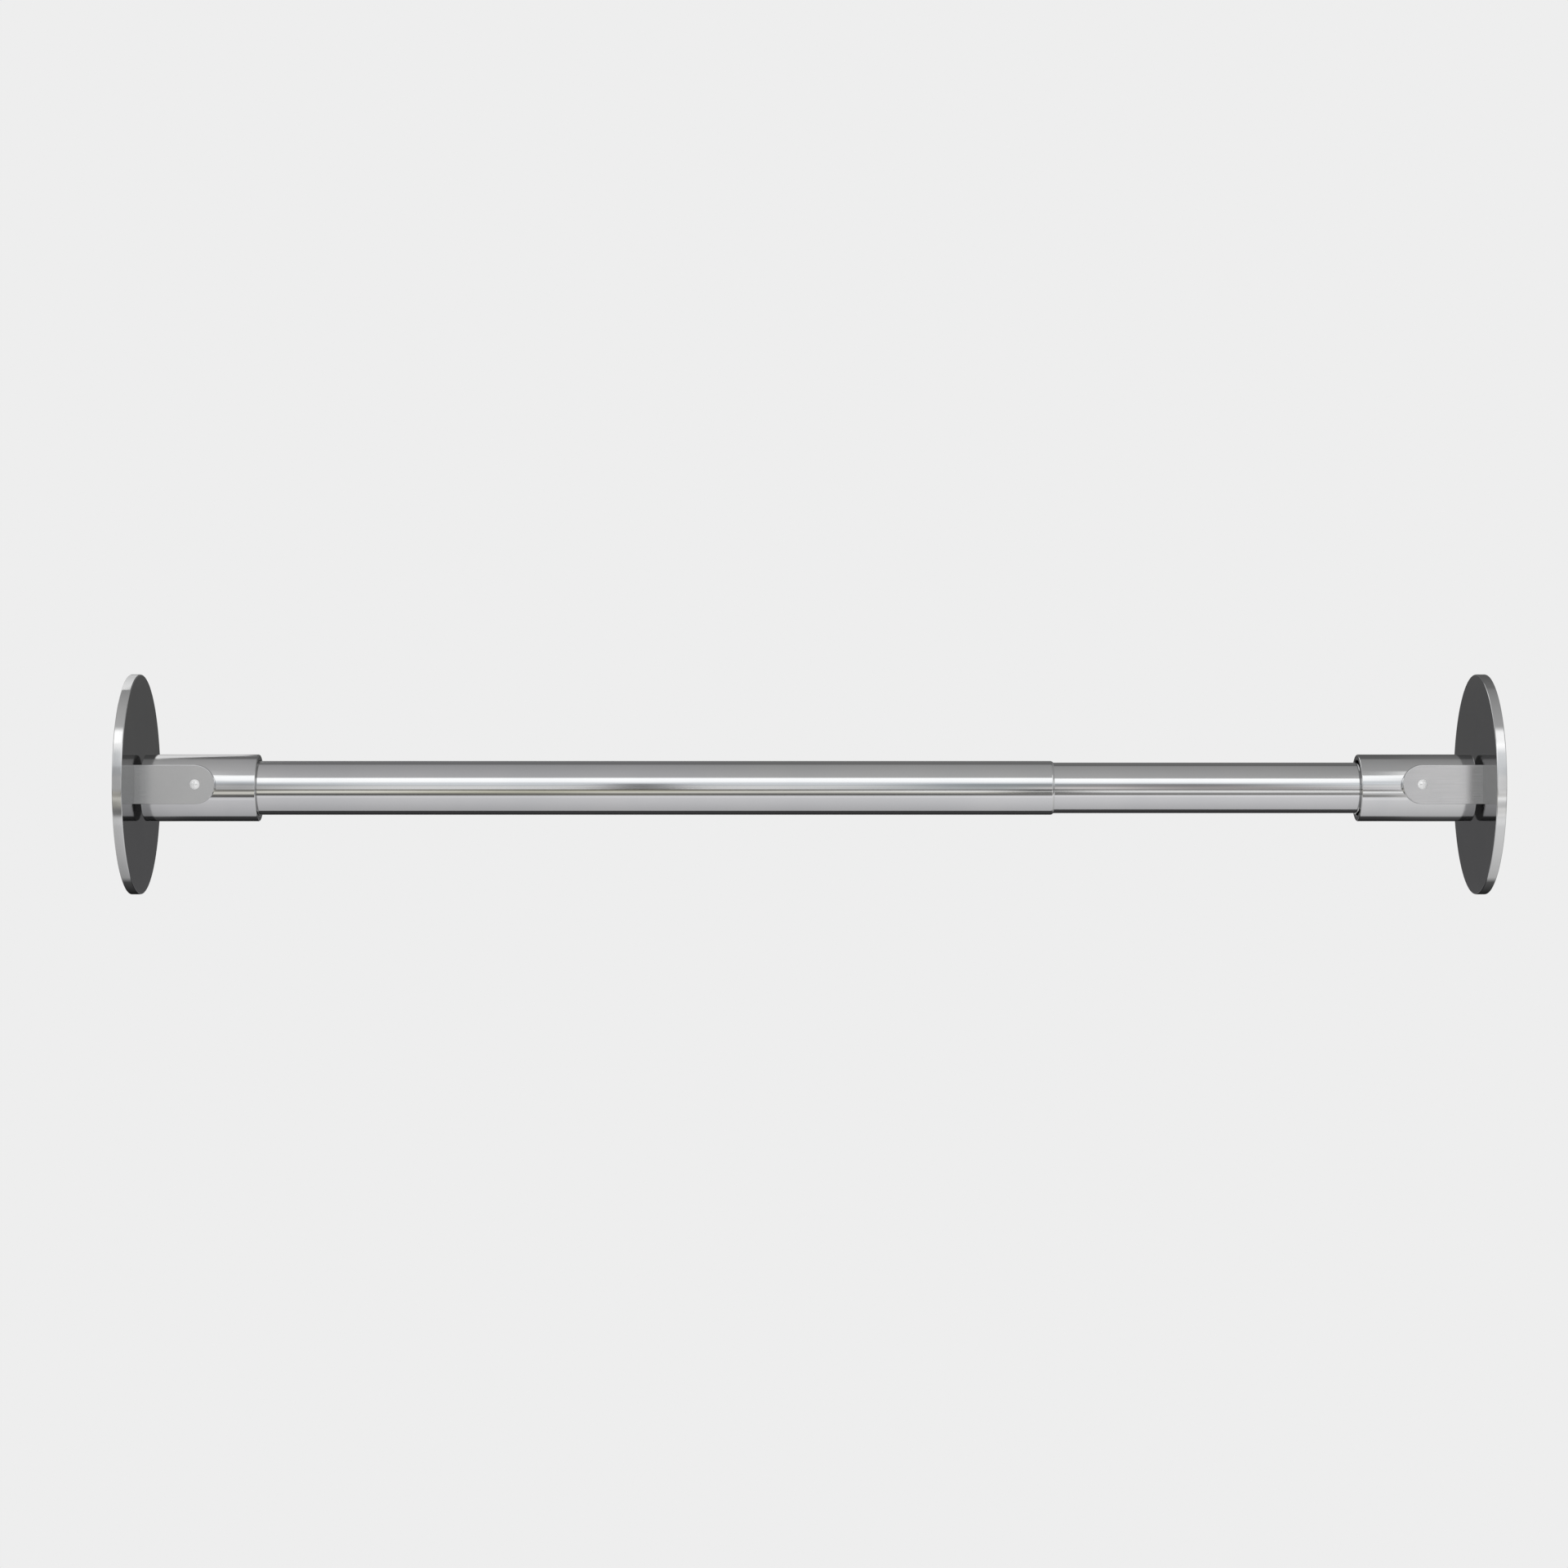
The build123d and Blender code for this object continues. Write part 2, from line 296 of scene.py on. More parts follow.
def front_ear():
    """Flat strap with a round end and a tongue, softened along its front outline."""
    bm = bmesh.new()
    front = ear_low.y
    thickness = ear_high.y - ear_low.y
    low_side = chain(
        bm,
        [
            (ear_low.x, front, tenon_half_width),
            (ear_low.x, front, -tenon_half_width),
            (disc_face, front, -tenon_half_width),
            (disc_face, front, -ear_half_width),
            (pivot_x, front, -ear_half_width),
        ],
    )
    tip = bmesh.ops.spin(
        bm,
        geom=[low_side[-1]],
        cent=(pivot_x, 0, 0),
        axis=(0, -1, 0),
        angle=math.pi,
        steps=ear_tip_steps,
    )
    round_end = verts_of(tip["geom_last"])[0]
    high_side = chain(
        bm,
        [(disc_face, front, ear_half_width), (disc_face, front, tenon_half_width)],
    )
    bm.edges.new((round_end, high_side[0]))
    bm.edges.new((high_side[1], low_side[0]))
    face = bmesh.ops.contextual_create(bm, geom=bm.edges[:])["faces"]
    outline = list(face[0].edges)
    raised = bmesh.ops.extrude_face_region(bm, geom=face, use_keep_orig=True)
    moved = verts_of(raised["geom"])
    bmesh.ops.translate(bm, vec=(0, thickness, 0), verts=moved)
    bmesh.ops.recalc_face_normals(bm, faces=bm.faces)
    # The edges in front of the disc, without the shoulders that rest on it
    free_edges = []
    for edge in outline:
        nearer, further = sorted(vert.co.x for vert in edge.verts)
        if nearer > disc_face - weld and further > disc_face + mm:
            free_edges.append(edge)
    bmesh.ops.bevel(
        bm,
        geom=free_edges,
        offset=ear_edge_radius,
        affect="EDGES",
        segments=edge_segments,
        profile=0.5,
        material=-1,
    )
    hole = pivot_bar(screw_radius + pivot_clearance, ear_low.y - mm, ear_high.y + mm)
    return carved(bm, hole)


def front_pivot_screw():
    """Domed screw with a cross recess."""
    head_seat = ear_low.y - pivot_clearance
    top = head_seat - screw_head_height
    dome_radius = (screw_head_radius**2 + screw_head_height**2) / (2 * screw_head_height)
    bm = bmesh.new()
    crown = bm.verts.new((pivot_x, top, 0))
    dome = bmesh.ops.spin(
        bm,
        geom=[crown],
        cent=(pivot_x, top + dome_radius, 0),
        axis=(0, 0, 1),
        angle=math.asin(screw_head_radius / dome_radius),
        steps=arc_steps,
    )
    rim = verts_of(dome["geom_last"])[0]
    shank = chain(
        bm,
        [
            (pivot_x + screw_radius, head_seat, 0),
            (pivot_x + screw_radius, screw_high.y, 0),
            (pivot_x, screw_high.y, 0),
        ],
    )
    bm.edges.new((rim, shank[0]))
    screw = turn_on_pivot(bm)
    half_length = cross_slot_length / 2
    half_width = cross_slot_width / 2
    slot_floor = top + cross_slot_depth
    level = block(
        (pivot_x - half_length, top - mm, -half_width),
        (pivot_x + half_length, slot_floor, half_width),
    )
    upright = block(
        (pivot_x - half_width, top - mm, -half_length),
        (pivot_x + half_width, slot_floor, half_length),
    )
    return carved(screw, level, upright)


def socket():
    """Thick collar with a blind bore, spot-faced and drilled for the pivot screws."""
    bm = bmesh.new()
    bore = socket_radius - socket_wall
    bore_floor = pivot_x + pivot_web
    corners = [
        (socket_low.x, 0, tube_axis),
        (socket_low.x, 0, tube_axis + socket_radius),
        (socket_high.x, 0, tube_axis + socket_radius),
        (socket_high.x, 0, tube_axis + bore + socket_bore_chamfer),
        (socket_high.x - socket_bore_chamfer, 0, tube_axis + bore),
        (bore_floor, 0, tube_axis + bore),
        (bore_floor, 0, tube_axis),
    ]
    verts = chain(bm, corners)
    round_corners(bm, verts[1:3], socket_edge_radius)
    body = turn_on_rod(bm, tube_axis)
    flat_radius = washer_radius + spot_face_margin
    front_flat = pivot_bar(flat_radius, ear_low.y, washer_high.y)
    rear_flat = pivot_bar(flat_radius, -washer_high.y, -ear_low.y)
    hole = pivot_bar(screw_radius + pivot_clearance, -socket_radius, socket_radius)
    return carved(body, front_flat, rear_flat, hole)


def outer_tube():
    """Large tube, with its mouth rounded down to the inner tube."""
    bm = bmesh.new()
    bore = outer_radius - outer_wall
    drop = outer_wall - mouth_edge
    nose_radius = (mouth_nose_length**2 + drop**2) / (2 * drop)
    nose_start = outer_high.x - mouth_nose_length
    wall = chain(
        bm,
        [
            (outer_high.x, 0, tube_axis + bore),
            (outer_low.x, 0, tube_axis + bore),
            (outer_low.x, 0, tube_axis + outer_radius),
            (nose_start, 0, tube_axis + outer_radius),
        ],
    )
    nose = bmesh.ops.spin(
        bm,
        geom=[wall[-1]],
        cent=(nose_start, 0, tube_axis + outer_radius - nose_radius),
        axis=(0, 1, 0),
        angle=math.asin(mouth_nose_length / nose_radius),
        steps=arc_steps,
    )
    lip = verts_of(nose["geom_last"])[0]
    bm.edges.new((lip, wall[0]))
    return turn_on_rod(bm, tube_axis)


def inner_tube():
    """Smaller tube that slides in the outer tube."""
    bm = bmesh.new()
    bore = inner_radius - inner_wall
    chain(
        bm,
        [
            (inner_low.x, 0, tube_axis + bore),
            (inner_low.x, 0, tube_axis + inner_radius),
            (inner_high.x, 0, tube_axis + inner_radius),
            (inner_high.x, 0, tube_axis + bore),
        ],
        close=True,
    )
    return turn_on_rod(bm, tube_axis)


def tension_spring():
    """The spring's solid, welded into one skin."""
    bm = bmesh.new()
    bm.from_mesh(frame["nodes"]["tension_spring"].data)
    bmesh.ops.remove_doubles(bm, verts=bm.verts, dist=weld)
    return bm


# Shared effects

# Noise seldom leaves these spans, so they are spread over an effect's whole range
line_noise_span = (0.3, 0.7)
patch_noise_span = (0.35, 0.65)

# Finer layers in each noise
line_detail = 3
ring_detail = 2
patch_detail = 4


def new_group(name, inputs, outputs):
    """Start a shader node group with named sockets."""
    group = bpy.data.node_groups.new(name, "ShaderNodeTree")
    for socket_name, kind, default in inputs:
        made = group.interface.new_socket(socket_name, in_out="INPUT", socket_type=kind)
        made.default_value = default
    for socket_name, kind in outputs:
        group.interface.new_socket(socket_name, in_out="OUTPUT", socket_type=kind)
    return group


def add(tree, kind, **settings):
    """Add a node and set its properties."""
    node = tree.nodes.new(kind)
    for name, value in settings.items():
        setattr(node, name, value)
    return node


def computed(tree, operation, *terms):
    """Result of a Math node. Each term is a socket or a number."""
    node = add(tree, "ShaderNodeMath", operation=operation)
    for entry, term in zip(node.inputs, terms):
        if isinstance(term, bpy.types.NodeSocket):
            tree.links.new(term, entry)
        else:
            entry.default_value = term
    return node.outputs["Value"]


def spread(tree, noise, span):
    """Node that spreads the span of a noise over a range, from 0 to 1 unless that is changed."""
    low, high = span
    fit = add(tree, "ShaderNodeMapRange")
    fit.inputs["From Min"].default_value = low
    fit.inputs["From Max"].default_value = high
    tree.links.new(noise.outputs["Fac"], fit.inputs["Value"])
    return fit


def polish_lines_group():
    """Fine lines left by polishing, drawn out along the stretched axis of the pattern."""
    group = new_group(
        "polish_lines",
        [
            ("Stretch", "NodeSocketVector", (1, 1, 1)),
            ("Lowest", "NodeSocketFloat", 0.0),
            ("Highest", "NodeSocketFloat", 1.0),
        ],
        [("Value", "NodeSocketFloat")],
    )
    enter = add(group, "NodeGroupInput")
    leave = add(group, "NodeGroupOutput")
    place = add(group, "ShaderNodeTexCoord")
    stretch = add(group, "ShaderNodeMapping")
    lines = add(group, "ShaderNodeTexNoise")
    lines.inputs["Scale"].default_value = 1
    lines.inputs["Detail"].default_value = line_detail
    fit = spread(group, lines, line_noise_span)
    group.links.new(place.outputs["Object"], stretch.inputs["Vector"])
    group.links.new(enter.outputs["Stretch"], stretch.inputs["Scale"])
    group.links.new(stretch.outputs["Vector"], lines.inputs["Vector"])
    group.links.new(enter.outputs["Lowest"], fit.inputs["To Min"])
    group.links.new(enter.outputs["Highest"], fit.inputs["To Max"])
    group.links.new(fit.outputs["Result"], leave.inputs["Value"])
    return group


def turned_rings_group():
    """Fine rings round a line along X, as a lathe leaves them."""
    group = new_group(
        "turned_rings",
        [
            ("Pitch", "NodeSocketFloat", 3000.0),
            ("Lowest", "NodeSocketFloat", 0.0),
            ("Highest", "NodeSocketFloat", 1.0),
        ],
        [("Value", "NodeSocketFloat")],
    )
    enter = add(group, "NodeGroupInput")
    leave = add(group, "NodeGroupOutput")
    place = add(group, "ShaderNodeTexCoord")
    parts = add(group, "ShaderNodeSeparateXYZ")
    flat = add(group, "ShaderNodeCombineXYZ")
    reach = add(group, "ShaderNodeVectorMath", operation="LENGTH")
    rings = add(group, "ShaderNodeTexNoise", noise_dimensions="1D")
    rings.inputs["Scale"].default_value = 1
    rings.inputs["Detail"].default_value = ring_detail
    fit = spread(group, rings, line_noise_span)
    group.links.new(place.outputs["Object"], parts.inputs["Vector"])
    group.links.new(parts.outputs["Y"], flat.inputs["Y"])
    group.links.new(parts.outputs["Z"], flat.inputs["Z"])
    group.links.new(flat.outputs["Vector"], reach.inputs[0])
    travel = computed(group, "ADD", reach.outputs["Value"], parts.outputs["X"])
    group.links.new(computed(group, "MULTIPLY", travel, enter.outputs["Pitch"]), rings.inputs["W"])
    group.links.new(enter.outputs["Lowest"], fit.inputs["To Min"])
    group.links.new(enter.outputs["Highest"], fit.inputs["To Max"])
    group.links.new(fit.outputs["Result"], leave.inputs["Value"])
    return group


def cloudy_tint_group():
    """Soft patches between two near colours."""
    group = new_group(
        "cloudy_tint",
        [
            ("Scale", "NodeSocketFloat", 40.0),
            ("First", "NodeSocketColor", (0.6, 0.6, 0.6, 1)),
            ("Second", "NodeSocketColor", (0.6, 0.6, 0.6, 1)),
        ],
        [("Color", "NodeSocketColor")],
    )
    enter = add(group, "NodeGroupInput")
    leave = add(group, "NodeGroupOutput")
    place = add(group, "ShaderNodeTexCoord")
    patches = add(group, "ShaderNodeTexNoise")
    patches.inputs["Detail"].default_value = patch_detail
    fit = spread(group, patches, patch_noise_span)
    tint = add(group, "ShaderNodeMix", data_type="RGBA")
    group.links.new(place.outputs["Object"], patches.inputs["Vector"])
    group.links.new(enter.outputs["Scale"], patches.inputs["Scale"])
    group.links.new(fit.outputs["Result"], tint.inputs["Factor"])
    group.links.new(enter.outputs["First"], tint.inputs["A"])
    group.links.new(enter.outputs["Second"], tint.inputs["B"])
    group.links.new(tint.outputs["Result"], leave.inputs["Color"])
    return group


polish_lines = polish_lines_group()
turned_rings = turned_rings_group()
cloudy_tint = cloudy_tint_group()


# Finishes

chrome_level = 0.62
chrome_polish_depth = 0.0005 * mm
chrome_patch_contrast = 0.012
chrome_patch_coolness = 0.003
grains_in_a_patch = 20


def new_finish(name):
    """Start a material, and return it with its tree and shader."""
    material = bpy.data.materials.new(name)
    material.use_nodes = True
    tree = material.node_tree
    shader = tree.nodes["Principled BSDF"]
    return material, tree, shader


def use_group(tree, group, **values):
    """Place a shared effect with its own values."""
    node = add(tree, "ShaderNodeGroup", node_tree=group)
    for name, value in values.items():
        node.inputs[name].default_value = value
    return node


def grey(level, warmth=0.0):
    """A grey, a little warmer or cooler."""
    return (level + warmth, level, level - warmth, 1)


def bump_from(tree, shader, source, depth):
    """Feed a pattern to the shader as relief of this depth."""
    bump = add(tree, "ShaderNodeBump")
    bump.inputs["Strength"].default_value = 1
    bump.inputs["Distance"].default_value = depth
    tree.links.new(source, bump.inputs["Height"])
    tree.links.new(bump.outputs["Normal"], shader.inputs["Normal"])


def chrome(
    name,
    marks,
    mark_values,
    tint_scale,
    level=chrome_level,
    depth=chrome_polish_depth,
    metal=1.0,
    grazing=1.0,
):
    """Chrome plate with fine marks in its gloss and faint patches in its colour."""
    material, tree, shader = new_finish(name)
    shader.inputs["Metallic"].default_value = metal
    shader.inputs["Specular Tint"].default_value = grey(grazing)
    tint = use_group(
        tree,
        cloudy_tint,
        Scale=tint_scale,
        First=grey(level - chrome_patch_contrast, -chrome_patch_coolness),
        Second=grey(level + chrome_patch_contrast),
    )
    tree.links.new(tint.outputs["Color"], shader.inputs["Base Color"])
    lines = use_group(tree, marks, **mark_values)
    tree.links.new(lines.outputs["Value"], shader.inputs["Roughness"])
    bump_from(tree, shader, lines.outputs["Value"], depth)
    return material


def moulded(name, first, second, grain_scale, low_roughness, high_roughness, depth):
    """Moulded rubber or plastic with a fine grain."""
    material, tree, shader = new_finish(name)
    tint = use_group(tree, cloudy_tint, Scale=grain_scale / grains_in_a_patch, First=first, Second=second)
    grain = use_group(
        tree,
        polish_lines,
        Stretch=(grain_scale, grain_scale, grain_scale),
        Lowest=low_roughness,
        Highest=high_roughness,
    )
    tree.links.new(tint.outputs["Color"], shader.inputs["Base Color"])
    tree.links.new(grain.outputs["Value"], shader.inputs["Roughness"])
    bump_from(tree, shader, grain.outputs["Value"], depth)
    return material


finishes = {
    "tube_chrome": chrome(
        "tube_chrome",
        polish_lines,
        {"Stretch": (6, 1800, 1800), "Lowest": 0.07, "Highest": 0.11},
        tint_scale=25,
    ),
    "socket_chrome": chrome(
        "socket_chrome",
        polish_lines,
        {"Stretch": (20, 1500, 1500), "Lowest": 0.07, "Highest": 0.11},
        tint_scale=60,
        grazing=0.6,
    ),
    "ear_chrome": chrome(
        "ear_chrome",
        polish_lines,
        {"Stretch": (60, 2500, 2500), "Lowest": 0.16, "Highest": 0.24},
        tint_scale=80,
    ),
    "flange_chrome": chrome(
        "flange_chrome",
        turned_rings,
        {"Pitch": 5000, "Lowest": 0.06, "Highest": 0.13},
        tint_scale=50,
        grazing=0.56,
    ),
    "screw_steel": chrome(
        "screw_steel",
        polish_lines,
        {"Stretch": (900, 900, 900), "Lowest": 0.2, "Highest": 0.35},
        tint_scale=300,
        level=0.97,
        depth=0.002 * mm,
        metal=0.2,
    ),
    "spring_steel": chrome(
        "spring_steel",
        polish_lines,
        {"Stretch": (900, 900, 900), "Lowest": 0.28, "Highest": 0.45},
        tint_scale=150,
        level=0.42,
        depth=0.003 * mm,
    ),
    "pad_rubber": moulded(
        "pad_rubber",
        first=grey(0.035),
        second=grey(0.055),
        grain_scale=2500,
        low_roughness=0.62,
        high_roughness=0.8,
        depth=0.02 * mm,
    ),
    "nylon": moulded(
        "nylon",
        first=grey(0.74, 0.02),
        second=grey(0.8, 0.025),
        grain_scale=1500,
        low_roughness=0.4,
        high_roughness=0.55,
        depth=0.008 * mm,
    ),
    "cam_plastic": moulded(
        "cam_plastic",
        first=grey(0.05),
        second=grey(0.08),
        grain_scale=1500,
        low_roughness=0.45,
        high_roughness=0.6,
        depth=0.01 * mm,
    ),
}

# Every solid gets its slot's finish, whether it stays on show or a finer piece stands for it
for subpart in frame["record"]["subparts"]:
    solid = frame["nodes"][subpart["node"]]
    solid.data.materials.clear()
    solid.data.materials.append(finishes[subpart["material_slot"]])


# Pieces on show

def finished(bm, node, body, slot, place=here):
    """Put a shape in its place as the piece that stands for a node."""
    bmesh.ops.transform(bm, matrix=place, verts=bm.verts)
    piece = loose(bm, node + "_skin")
    piece.data.shade_smooth()
    piece.data.set_sharp_from_angle(angle=smooth_angle)
    even = piece.modifiers.new("even shading", "WEIGHTED_NORMAL")
    even.keep_sharp = True
    piece.data.materials.append(finishes[slot])
    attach(piece, body)
    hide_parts(node)
    return piece


for end, place in ends.items():
    flange = end + "_flange"
    collar = "left_socket" if end == "left" else "inner_rod"
    finished(wall_pad(), end + "_wall_pad", flange, "pad_rubber", place)
    finished(flange_disc(), end + "_flange_disc", flange, "flange_chrome", place)
    finished(socket(), end + "_socket", collar, "socket_chrome", place)
    # Turned end for end, the front ear of the left end comes to the rear of the right end.
    front = here if end == "left" else to_rear
    rear = to_rear if end == "left" else here
    for side, turned_side in (("front", front), ("rear", rear)):
        spot = place @ turned_side
        label = end + "_" + side
        finished(front_ear(), label + "_ear", flange, "ear_chrome", spot)
        finished(front_pivot_screw(), label + "_pivot_screw", collar, "screw_steel", spot)

finished(outer_tube(), "outer_tube", "outer_rod", "tube_chrome")
finished(inner_tube(), "inner_tube", "inner_rod", "tube_chrome")

# The spring's piece gets a mesh of its own
spring = finished(tension_spring(), "tension_spring", "inner_rod", "spring_steel")
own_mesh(spring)

# Studio, in metres and degrees
backdrop_level = 0.855
fill_level = 0.7
tent_radius = 2.0
tent_half_length = 12.0
middle_x = overall_length / 2
end_panels_reach = 0.63
end_panels_blend = 0.006
far_panels_reach = 1.05
far_panels_blend = 0.1
zone_blend = 1.5
angles_start = -180
angles_end = 180
sections_start = -2.0
sections_end = 3.0
floor_height = -0.6
floor_reach = 1.0
floor_fade_start = 0.3
floor_cells = 8
floor_tint_scale = 3
floor_low_level = 0.84
floor_high_level = 0.86
floor_roughness = 0.9

# White sail inside the tent: its corners as places along the rod and angles round it
sail_corners = [(-1.5, 116), (-0.31, 116), (-0.207, 145), (-0.207, 165), (-1.5, 165)]
sail_radius = 1.8
sail_strength = 1.3

# Soft lamps, aimed at the rod's middle
lamp_target = (middle_x, 0, 0)
lamp_size = 1.2
key_lamp_place = (-0.6, -1.4, 1.6)
key_lamp_power = 12
rear_lamp_place = (1.4, 1.4, 1.2)
rear_lamp_power = 8

# Camera in front of the rod, with lens and sensor in millimetres and the shift as a share of the frame
camera_place = (0.2971, -1.634, 0.0002)
camera_lens = 80.88
camera_sensor = 36
camera_shift = 0.008

# Tints of the room's paints, as shares of red, green and blue
plain = (1.0, 1.0, 1.0)
dusk = (1.004, 1.0, 1.024)
sea = (0.93, 1.0, 1.03)
rose = (1.05, 1.0, 0.99)
straw = (1.02, 1.0, 0.92)
deep_straw = (1.03, 1.0, 0.82)

# Panels of the tent round the rod: name, start and end angle, glow at both, warmth.
# Angles are in degrees from the viewer's side, upwards first, and straight behind is 180.
low_dark_wall = ("low half of the dark wall behind", -180, -176, 0.16, 0.16, 0)
low_rear_strip = ("low strip lamp behind", -174, -167, 0.45, 0.45, 0)
floor_far_edge = ("floor's far edge", -164, -117, 0.015, 0.075, 0)
floor_field = ("floor", -113.5, -44, 0.58, 0.83, 0)
floor_near_edge = ("floor's near edge", -40, -35.5, 0.96, 0.97, 0)
bench_front = ("bench front", -17.7, -14, 0.82, 0.98, 0)
low_wall = ("front wall under its rail", -4.5, 7, 0.97, 0.93, 0)
far_ceiling = ("far ceiling", 119.5, 164, 0.20, 0.22, 0)
high_rear_strip = ("high strip lamp behind", 167, 174, 0.45, 0.45, 0)
high_dark_wall = ("high half of the dark wall behind", 176, 180, 0.16, 0.16, 0)

front_panels = [
    floor_field,
    floor_near_edge,
    ("shadow under the bench", -30, -27.5, 0.16, 0.14, 0.03),
    bench_front,
    ("shadow over the bench", -10.5, -8.2, 0.18, 0.18, 0.03),
    low_wall,
    ("rail on the front wall", 9.3, 10.6, 0.72, 0.72, -0.02),
    ("front wall", 13, 21, 0.94, 0.96, -0.04),
    ("softbox", 26, 41.5, 1.5, 1.65, -0.01),
    ("ceiling", 44.5, 116, 0.58, 0.4, 0),
]
middle_panels = [
    low_dark_wall,
    low_rear_strip,
    floor_far_edge,
    *front_panels,
    far_ceiling,
    high_rear_strip,
    high_dark_wall,
]
end_panels = [
    low_dark_wall,
    ("floor's far edge at the ends", -164, -122, 0.025, 0.12, 0),
    floor_field,
    floor_near_edge,
    ("shadow under the bench's ends", -30, -27, 0.55, 0.55, 0.01),
    bench_front,
    ("shadow over the bench's ends", -12, -10, 0.6, 0.6, 0.01),
    low_wall,
    ("front wall at the ends", 12, 32, 0.85, 1.0, -0.02),
    ("softbox at the ends", 40, 55.5, 1.6, 1.65, 0),
    ("ceiling at the ends", 61, 116, 0.56, 0.37, 0),
    ("far ceiling at the ends", 119.5, 164, 0.27, 0.25, 0),
    high_dark_wall,
]
far_panels = [
    ("low half of the pale wall behind", -180, -164, 1.05, 0.95, 0),
    ("dark edge under the pale wall", -157, -136, 0.26, 0.42, 0),
    *front_panels,
    ("dark edge over the pale wall", 136, 157, 0.42, 0.26, 0),
    ("high half of the pale wall behind", 164, 180, 0.95, 1.05, 0),
]

# Sections along the rod: name, start and end in metres, and the tone and tint that multiply a panel's glow
floor_sections = [
    ("left side floor", -2.0, -1.4, 1.0, plain),
    ("left floor", -0.6, -0.355, 0.75, plain),
    ("floor beside the left wall", -0.32, -0.28, 0.92, dusk),
    ("floor by the left bench", -0.1, 0.0, 0.965, dusk),
    ("middle floor", 0.2, 0.4, 1.01, dusk),
    ("right floor", 0.5, 0.9, 1.05, dusk),
    ("right corner", 1.02, 1.3, 1.08, plain),
    ("right side floor", 2.0, 3.0, 1.0, plain),
]
shadow_sections = [
    ("shadow by the left wall", -2.0, -0.335, 0.45, plain),
    ("left shadow", -0.3, -0.1, 0.62, plain),
    ("shadow by the post", 0.1, 0.18, 1.0, straw),
    ("middle shadow", 0.25, 0.45, 0.78, plain),
    ("right shadow", 0.66, 0.9, 1.3, plain),
    ("shadow by the right wall", 0.98, 1.1, 1.75, plain),
    ("right side shadow", 1.6, 3.0, 1.0, plain),
]
bench_front_sections = [
    ("bench by the left wall", -2.0, -0.335, 0.55, straw),
    ("left end of the bench", -0.295, -0.15, 1.25, straw),
    ("shaded part", -0.02, 0.07, 0.83, deep_straw),
    ("middle part", 0.13, 0.27, 1.13, straw),
    ("duller part", 0.33, 0.4, 1.02, straw),
    ("right part", 0.48, 0.52, 1.22, straw),
    ("gap between the benches", 0.563, 0.585, 0.06, plain),
    ("right bench", 0.63, 0.9, 1.19, plain),
    ("end of the right bench", 1.5, 3.0, 0.5, plain),
]
bench_top_sections = [
    ("left end of the bench", -2.0, -0.225, 0.78, straw),
    ("left part", -0.195, -0.12, 1.22, straw),
    ("shaded part", 0.04, 0.18, 0.82, deep_straw),
    ("middle part", 0.26, 0.3, 0.93, straw),
    ("right part", 0.46, 0.538, 1.52, plain),
    ("gap between the benches", 0.563, 0.585, 0.06, plain),
    ("right bench", 0.615, 0.78, 1.47, plain),
    ("right bench by the wall", 0.96, 1.1, 1.36, plain),
    ("end of the right bench", 1.5, 3.0, 0.5, plain),
]
low_front_sections = [
    ("left side wall", -2.0, -1.4, 0.8, plain),
    ("left corner", -0.7, -0.32, 0.55, plain),
    ("left wall's end", -0.285, -0.275, 0.66, plain),
    ("post by the left wall", -0.25, -0.238, 0.44, plain),
    ("left wall's edge", -0.2, -0.19, 0.87, plain),
    ("left wall", -0.08, 0.115, 1.03, plain),
    ("dark post", 0.143, 0.186, 0.0, plain),
    ("middle wall", 0.213, 0.3, 1.03, plain),
    ("shaded wall", 0.525, 0.545, 0.54, sea),
    ("door frame", 0.59, 0.635, 0.88, rose),
    ("door", 0.71, 0.83, 0.46, rose),
    ("right wall", 0.955, 0.985, 1.04, dusk),
    ("right corner", 1.03, 1.2, 0.87, plain),
    ("right side wall", 1.5, 3.0, 0.5, plain),
]
high_front_sections = [
    ("left side wall", -2.0, -1.4, 0.8, plain),
    ("left corner", -0.7, -0.33, 0.56, plain),
    ("left wall's end", -0.29, -0.275, 0.88, plain),
    ("post by the left wall", -0.255, -0.24, 0.48, plain),
    ("left wall's edge", -0.2, -0.19, 0.77, plain),
    ("left wall", -0.1, 0.125, 1.03, plain),
    ("dark post", 0.152, 0.178, 0.0, plain),
    ("middle wall", 0.207, 0.38, 1.04, plain),
    ("shaded wall", 0.5, 0.53, 0.5, sea),
    ("dull wall", 0.58, 0.6, 0.5, plain),
    ("door frame", 0.63, 0.64, 0.52, rose),
    ("door", 0.715, 0.765, 0.37, rose),
    ("right wall", 0.905, 0.99, 1.1, plain),
    ("right corner", 1.04, 1.2, 0.91, plain),
    ("right side wall", 1.5, 3.0, 0.5, plain),
]
softbox_sections = [
    ("left end of the softbox", -2.0, -0.335, 0.77, plain),
    ("softbox", -0.3, 1.1, 1.0, plain),
    ("right end of the softbox", 1.5, 3.0, 0.6, plain),
]
ceiling_sections = [
    ("left ceiling", -2.0, -0.3, 1.08, plain),
    ("middle ceiling", -0.2, 0.15, 1.02, dusk),
    ("plain part of the ceiling", 0.27, 0.5, 1.0, plain),
    ("right ceiling", 0.95, 3.0, 0.9, plain),
]

# Zones round the rod, from low to high: the angle where each starts, and its sections
tone_zones = [
    (-180, floor_sections),
    (-32.5, shadow_sections),
    (-24, bench_front_sections),
    (-16.5, bench_top_sections),
    (-7, low_front_sections),
    (4, high_front_sections),
    (18, softbox_sections),
    (43, ceiling_sections),
]


